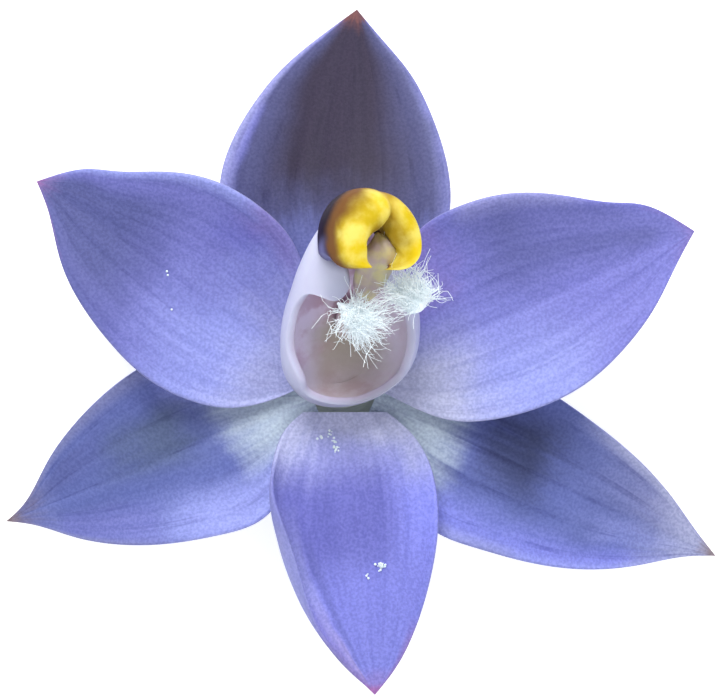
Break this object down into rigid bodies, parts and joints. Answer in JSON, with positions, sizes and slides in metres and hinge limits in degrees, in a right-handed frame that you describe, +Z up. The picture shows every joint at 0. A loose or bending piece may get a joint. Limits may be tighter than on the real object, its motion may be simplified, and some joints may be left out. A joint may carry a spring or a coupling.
{
  "type": "orchid flower",
  "caption": "Sun orchid flower lying face up: blue-violet sepals and petals round a hooded, winged column with hair tufts, over a ribbed ovary.",
  "frame": {"origin": "centre of the footprint, on the surface that the flower lies on", "axes": "+Z up, out of the flower's face; +Y towards the tip of the dorsal sepal; +X towards the flower's right as seen from the front"},
  "size_m": [0.025, 0.024, 0.0117],
  "materials": {
    "sepal_skin": "satin living tissue",
    "petal_skin": "satin living tissue",
    "green_flesh": "satin living tissue",
    "wing_flesh": "waxy, slightly translucent",
    "hood_flesh": "waxy",
    "hair_mass": "matt hairs",
    "anther_flesh": "satin living tissue"
  },
  "bodies": {
    "root": {"dorsal_sepal": "sepal_skin", "left_lateral_sepal": "sepal_skin", "right_lateral_sepal": "sepal_skin", "left_petal": "petal_skin", "right_petal": "petal_skin", "labellum": "petal_skin", "ovary": "green_flesh", "column_cup": "wing_flesh", "column_hood": "hood_flesh", "left_hair_tuft": "hair_mass", "right_hair_tuft": "hair_mass", "anther": "anther_flesh", "stigma": "anther_flesh"}
  },
  "joints": []
}
